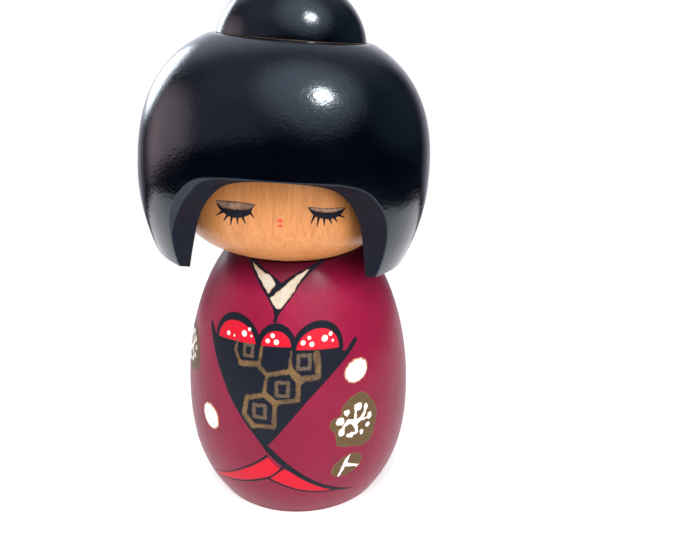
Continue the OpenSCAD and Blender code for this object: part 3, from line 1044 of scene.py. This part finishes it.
def paint_body(pots):
    front = Patch(BODY, PAINT_FRONT, (-28, 29), (7, 62.6 + 2), 0.22)
    obi = kimono_black(front)
    lines = petal_lines(front)
    film("kimono_black", front, union(obi, lines), WORLD, "root", pots["black"], 0.0, 0.06)
    neck = Patch(BODY, PAINT_FRONT, (-14, 16), (61.5, 77.6), 0.18)
    film("collar_black", neck, collar_black(neck), WORLD, "root", pots["black"], 0.0, 0.06)
    film("collar_cream", neck, collar_cream(neck), WORLD, "root", pots["cream"], 0.03, 0.09)
    left, right = petals(front)
    film("skirt_red", front, union(left, right) - 0.08, WORLD, "root", pots["red"], -0.01, 0.05)
    red = union(*[dome(front, row, 0, 0) for row in DOMES])
    film("dome_red", front, red, WORLD, "root", pots["red"], 0.04, 0.06)
    fine = Patch(BODY, PAINT_FRONT, (-16, 19), (56, 61.5), 0.15)
    dots = union(*[fine.oval(s, z, r, r) for s, z, r in DOTS])
    film("dome_dots", fine, dots, WORLD, "root", pots["white"], 0.08, 0.09)
    obi_patch = Patch(BODY, PAINT_FRONT, (-13, 16), (32, 57.5), 0.18)
    film("obi_gold", obi_patch, gold_lines(obi_patch), WORLD, "root", pots["gold"], 0.04, 0.07)
    film("obi_squares", obi_patch, gold_squares(obi_patch), WORLD, "root", pots["dull_gold"], 0.04, 0.06)

    for i, (s, z, size, turn) in enumerate(BLOSSOMS, 1):
        reach = 10 * size
        line, s = own_front(s, z)
        patch = Patch(BODY, line, (s - reach, s + reach), (z - reach, z + reach), 0.2)
        film(f"blossom_{i}", patch, blossom(patch, s, z, size, turn), WORLD, "root", pots["plum"], 0.0, 0.06)
        film(f"stamens_{i}", patch, stamens(patch, s, z, size, turn), WORLD, "root", pots["white"], 0.04, 0.1)
    for i, (s, z, rs, rz, tilt) in enumerate(SPOTS, 1):
        line, s = own_front(s, z)
        patch = Patch(BODY, line, (s - rs - 2, s + rs + 2), (z - rz - 2, z + rz + 2), 0.2)
        rim = patch.oval(s, z, rs + 0.22, rz + 0.22, tilt) + patch.hand(i + 50, 0.12, 1.3)
        film(f"spot_rim_{i}", patch, rim, WORLD, "root", pots["tan"], 0.0, 0.03)
        shape = patch.oval(s, z, rs, rz, tilt) + patch.hand(i, 0.09, 1.6)
        film(f"spot_{i}", patch, shape, WORLD, "root", pots["white_spot"], 0.03, 0.08)
    for i, (s, z, rs, rz, tilt) in enumerate(BUDS, 1):
        line, s = own_front(s, z)
        patch = Patch(BODY, line, (s - rs - 2, s + rs + 2), (z - rz - 3, z + rz + 3), 0.18)
        shape = patch.oval(s, z, rs, rz, tilt) + patch.hand(i + 7, 0.12, 2)
        film(f"bud_{i}", patch, shape, WORLD, "root", pots["plum"], 0.0, 0.06)
        film(f"twig_{i}", patch, twig(patch, s, z, rs, rz, tilt), WORLD, "root", pots["white"], 0.04, 0.1)


def paint_face(pots):
    for side, eye in zip(("left", "right"), EYES):
        middle = eye["seam"][3][0]
        patch = Patch(BALL, FACE_FRONT, (middle - 7.5, middle + 8), (12, 20.6), 0.1)
        film(f"lid_{side}", patch, eye_lid(patch, eye), HEAD, "head_unit", pots["lid"], 0.0, 0.03)
        film(f"lashes_{side}", patch, eye_black(patch, eye), HEAD, "head_unit", pots["black"], 0.01, 0.05)
    patch = Patch(BALL, FACE_FRONT, (-2.5, 2.5), (12.5, 17.5), 0.08)
    film("nose", patch, patch.oval(0, 15.75, 0.8, 0.48, -6), HEAD, "head_unit", pots["lips"], 0.0, 0.05)
    film("mouth", patch, patch.oval(0.05, 14.35, 0.72, 0.42, 4), HEAD, "head_unit", pots["lips"], 0.0, 0.05)


pots = {
    "black": paint("black_paint", (0.006, 0.007, 0.011), (0.006, 0.008, 0.015), (0.016, 0.017, 0.022), 0.46),
    "lips": paint("lip_paint", (0.66, 0.10, 0.07), (0.72, 0.08, 0.075), (0.8, 0.2, 0.16), 0.45),
    "red": paint("red_paint", (0.42, 0.007, 0.020), (0.55, 0.008, 0.025), (0.59, 0.022, 0.036), 0.42),
    "cream": paint("cream_paint", (0.44, 0.26, 0.17), (0.54, 0.51, 0.40), (0.6, 0.57, 0.48), 0.55, 0.05, 0.0, 0.35),
    "gold": paint("gold_paint", (0.06, 0.038, 0.026), (0.17, 0.10, 0.043), (0.3, 0.2, 0.1), 0.45, 0.04, 0.2, 0.7),
    "dull_gold": paint("dull_gold_paint", (0.05, 0.035, 0.028), (0.10, 0.07, 0.047), (0.22, 0.16, 0.11), 0.5, 0.04, 0.15),
    "plum": paint("plum_gold_paint", (0.15, 0.085, 0.04), (0.10, 0.062, 0.028), (0.22, 0.15, 0.075), 0.48, 0.04, 0.15),
    "white": paint("white_paint", (0.72, 0.62, 0.5), (0.93, 0.91, 0.86), (0.95, 0.94, 0.9), 0.5, 0.04),
    "white_spot": paint("spot_paint", (0.5, 0.22, 0.12), (0.93, 0.91, 0.86), (0.72, 0.64, 0.58), 0.5, 0.05, 0.0, 0.1),
    "tan": paint("tan_paint", (0.34, 0.14, 0.07), (0.42, 0.2, 0.1), (0.6, 0.36, 0.22), 0.5),
    "lid": paint("lid_paint", (0.11, 0.06, 0.04), (0.42, 0.25, 0.17), (0.05, 0.035, 0.035), 0.5, 0.04, 0.0, 0.6),
}
wood = bare_wood("bare_wood")
black = black_lacquer()
build_body(red_lacquer(), wood)
build_head(face_wood())
build_hair(black, sawn_black(), rubbed_black())
build_bun(black)
build_bun_seam(paint("glue_line", (0.05, 0.032, 0.02), (0.10, 0.065, 0.04), (0.03, 0.02, 0.015), 0.5))
for node in ("neck_peg", "crown_dowel"):
    mesh = frame["nodes"][node].data
    mesh.materials.clear()
    mesh.materials.append(wood)
paint_body(pots)
paint_face(pots)


# ---------------------------------------------------------------- stage, lights and camera


TABLE = [(-450, -330), (265, -330), (268, 190), (-455, 190)]  # its corners; the room in front is dark
SEEN_GLOW = 0.5  # added to the table as the camera sees it, so that its shadows stay faint
MIRRORED_GLOW = 0.58  # added to it in reflections
CAST_GLOW = 0.3  # added to the light that it throws back onto the doll


def build_stage():
    """A pale table top."""
    count = len(TABLE)
    points = np.array([(x, y, 0) for x, y in TABLE] + [(x, y, -12) for x, y in TABLE], float)
    faces = [tuple(range(count)), tuple(range(2 * count - 1, count - 1, -1))]
    faces += [(k, k + count, (k + 1) % count + count, (k + 1) % count) for k in range(count)]
    mesh = bpy.data.meshes.new("table")
    mesh.from_pydata((points * MM).tolist(), [], faces)
    f = Finish("table", Roughness=0.7, Specular_IOR_Level=0.1)
    f.link("Base Color", f.ramp(f.noise(60, detail=2), (0.3, 0.55), (0.7, 0.6)))
    f.shader.inputs["Emission Color"].default_value = (1, 0.99, 0.98, 1)
    path = f.node("ShaderNodeLightPath")
    seen = f.span(path.outputs["Is Camera Ray"], 0.0, 1.0, 0.0, SEEN_GLOW)
    mirrored = f.sum(seen, path.outputs["Is Glossy Ray"], MIRRORED_GLOW)
    f.link("Emission Strength", f.sum(mirrored, path.outputs["Is Diffuse Ray"], CAST_GLOW))
    mesh.materials.append(f.material)
    table = bpy.data.objects.new("table", mesh)
    bpy.context.scene.collection.objects.link(table)


def heading(azimuth, elevation):
    """The direction that lies azimuth degrees around from the front, +X side first."""
    a, e = math.radians(azimuth), math.radians(elevation)
    return math.sin(a) * math.cos(e), -math.cos(a) * math.cos(e), math.sin(e)


ROOM = [  # azimuth, elevation, half widths of its even middle and of the whole, colour of each light
    (-170, 76, 0, 60, (0.34, 0.36, 0.43)),  # ceiling
    (36, 58, 6, 44, (1.3, 1.45, 1.65)),  # glow of the ceiling around the lamp
    (-52, 25, 0, 54, (0.40, 0.37, 0.45)),  # far side of the room, left
    (-102, 6, 8, 33, (1.3, 1.0, 1.08)),  # brown curtain
    (-146, 13, 7, 15, (5.2, 5.6, 6.2)),  # window
    (-172, 30, 5, 44, (0.60, 0.64, 0.72)),  # pale wall behind
    (180, -12, 10, 50, (0.68, 0.64, 0.74)),  # foot of that wall
    (104, 24, 0, 42, (0.08, 0.12, 0.16)),  # far side of the room, right
]
DUSK = (0.004, 0.008, 0.020)


def build_world():
    """White behind everything, and for light and reflections a dim room with soft patches."""
    world = bpy.data.worlds.new("room")
    bpy.context.scene.world = world
    world.use_nodes = True
    tree = world.node_tree
    tree.nodes.clear()

    def soft_step(value, start, end):
        """A value's rise from 0 at start to 1 at end."""
        made = tree.nodes.new("ShaderNodeMapRange")
        made.interpolation_type = "SMOOTHSTEP"
        tree.links.new(value, made.inputs["Value"])
        made.inputs["From Min"].default_value = start
        made.inputs["From Max"].default_value = end
        return made.outputs["Result"]

    where = tree.nodes.new("ShaderNodeTexCoord").outputs["Generated"]
    rise = tree.nodes.new("ShaderNodeVectorMath")
    rise.operation = "DOT_PRODUCT"
    tree.links.new(where, rise.inputs[0])
    rise.inputs[1].default_value = (0, 0.35, 1)
    above = soft_step(rise.outputs["Value"], -0.03, 0.07)
    room = tree.nodes.new("ShaderNodeBackground")
    room.inputs["Color"].default_value = (*DUSK, 1)
    total = room.outputs["Background"]
    for azimuth, elevation, even, whole, colour in ROOM:
        facing = tree.nodes.new("ShaderNodeVectorMath")
        facing.operation = "DOT_PRODUCT"
        tree.links.new(where, facing.inputs[0])
        facing.inputs[1].default_value = heading(azimuth, elevation)
        share = soft_step(facing.outputs["Value"], math.cos(math.radians(whole)), math.cos(math.radians(even)))
        cut = tree.nodes.new("ShaderNodeMath")
        cut.operation = "MULTIPLY"
        tree.links.new(share, cut.inputs[0])
        tree.links.new(above, cut.inputs[1])
        patch = tree.nodes.new("ShaderNodeBackground")
        patch.inputs["Color"].default_value = (*colour, 1)
        tree.links.new(cut.outputs["Value"], patch.inputs["Strength"])
        add = tree.nodes.new("ShaderNodeAddShader")
        tree.links.new(total, add.inputs[0])
        tree.links.new(patch.outputs["Background"], add.inputs[1])
        total = add.outputs["Shader"]
    backdrop = tree.nodes.new("ShaderNodeBackground")
    backdrop.inputs["Color"].default_value = (1, 1, 1, 1)
    seen = tree.nodes.new("ShaderNodeLightPath")
    mix = tree.nodes.new("ShaderNodeMixShader")
    tree.links.new(seen.outputs["Is Camera Ray"], mix.inputs["Fac"])
    tree.links.new(total, mix.inputs[1])
    tree.links.new(backdrop.outputs["Background"], mix.inputs[2])
    out = tree.nodes.new("ShaderNodeOutputWorld")
    tree.links.new(mix.outputs["Shader"], out.inputs["Surface"])


def lamp(name, place, size, power, colour=(1, 1, 1), glossy=True):
    """A disc-shaped lamp that faces the doll's middle, its place in metres."""
    light = bpy.data.lights.new(name, "AREA")
    light.shape = "DISK"
    light.size = size
    light.energy = power
    light.color = colour
    lamp_object = bpy.data.objects.new(name, light)
    lamp_object.location = place
    aim = Vector((0, 0, 0.09)) - Vector(place)
    lamp_object.rotation_euler = aim.to_track_quat("-Z", "Y").to_euler()
    lamp_object.visible_glossy = glossy
    lamp_object.visible_camera = False
    bpy.context.scene.collection.objects.link(lamp_object)
    return lamp_object


def build_lights():
    lamp("ceiling_lamp", (0.535, -0.536, 1.079), 0.2, 11, (1, 0.97, 0.93)).visible_diffuse = False
    lamp("room_light", (-0.14, -0.74, 1.06), 1.0, 15, (1, 0.97, 0.94), glossy=False)
    lamp("fill_light", (0.32, -0.82, 0.3), 0.7, 6, (1, 0.97, 0.94), glossy=False)


def build_camera():
    """The camera looks down at the doll from in front, a hand's breadth above its head."""
    camera = bpy.data.cameras.new("camera")
    camera.lens = 39.01
    camera.sensor_width = 36
    camera_object = bpy.data.objects.new("camera", camera)
    camera_object.location = Vector((5.155, -210.93, 141.78)) * MM
    camera_object.rotation_euler = (math.radians(90 - 19.307), 0, math.radians(-2.139))
    bpy.context.scene.collection.objects.link(camera_object)
    bpy.context.scene.camera = camera_object


build_stage()
build_world()
build_lights()
build_camera()
bpy.context.scene.view_settings.view_transform = "Standard"
